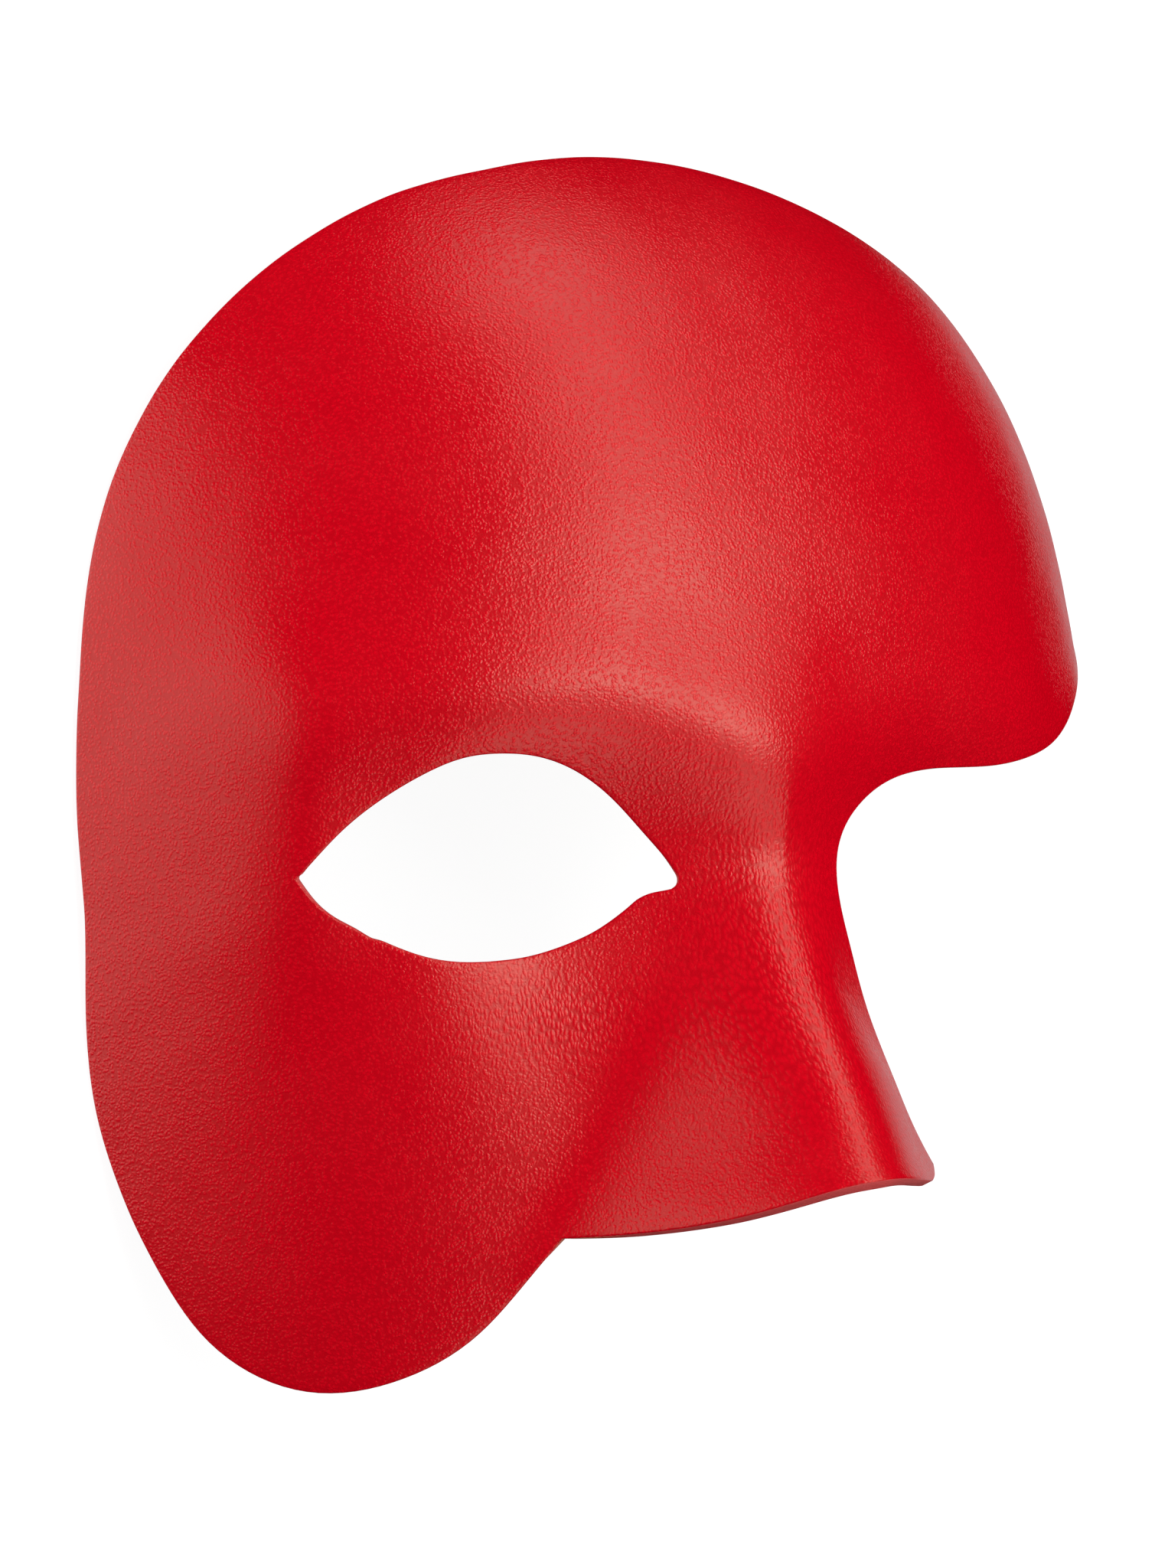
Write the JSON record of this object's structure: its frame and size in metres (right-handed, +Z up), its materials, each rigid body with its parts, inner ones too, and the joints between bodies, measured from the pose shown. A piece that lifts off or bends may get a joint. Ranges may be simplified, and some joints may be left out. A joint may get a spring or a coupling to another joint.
{
  "type": "leather half mask",
  "caption": "Moulded leather half mask with an almond eye hole, a nose and a cut-away for the other eye, lying face up on its rim.",
  "frame": {"origin": "the ground under the middle of the mask's bounding box, as it lies face up", "axes": "+Z up out of the face, +Y towards the forehead, +X towards the wearer's left, where the brow ends and the rim is cut away under it"},
  "size_m": [0.1622, 0.1844, 0.0772],
  "materials": {
    "red_leather": "satin red dyed leather with a fine grain; the cut edges are a duller red and the flesh side is natural tan"
  },
  "bodies": {
    "root": {"leather_mask": "red_leather"}
  },
  "joints": []
}
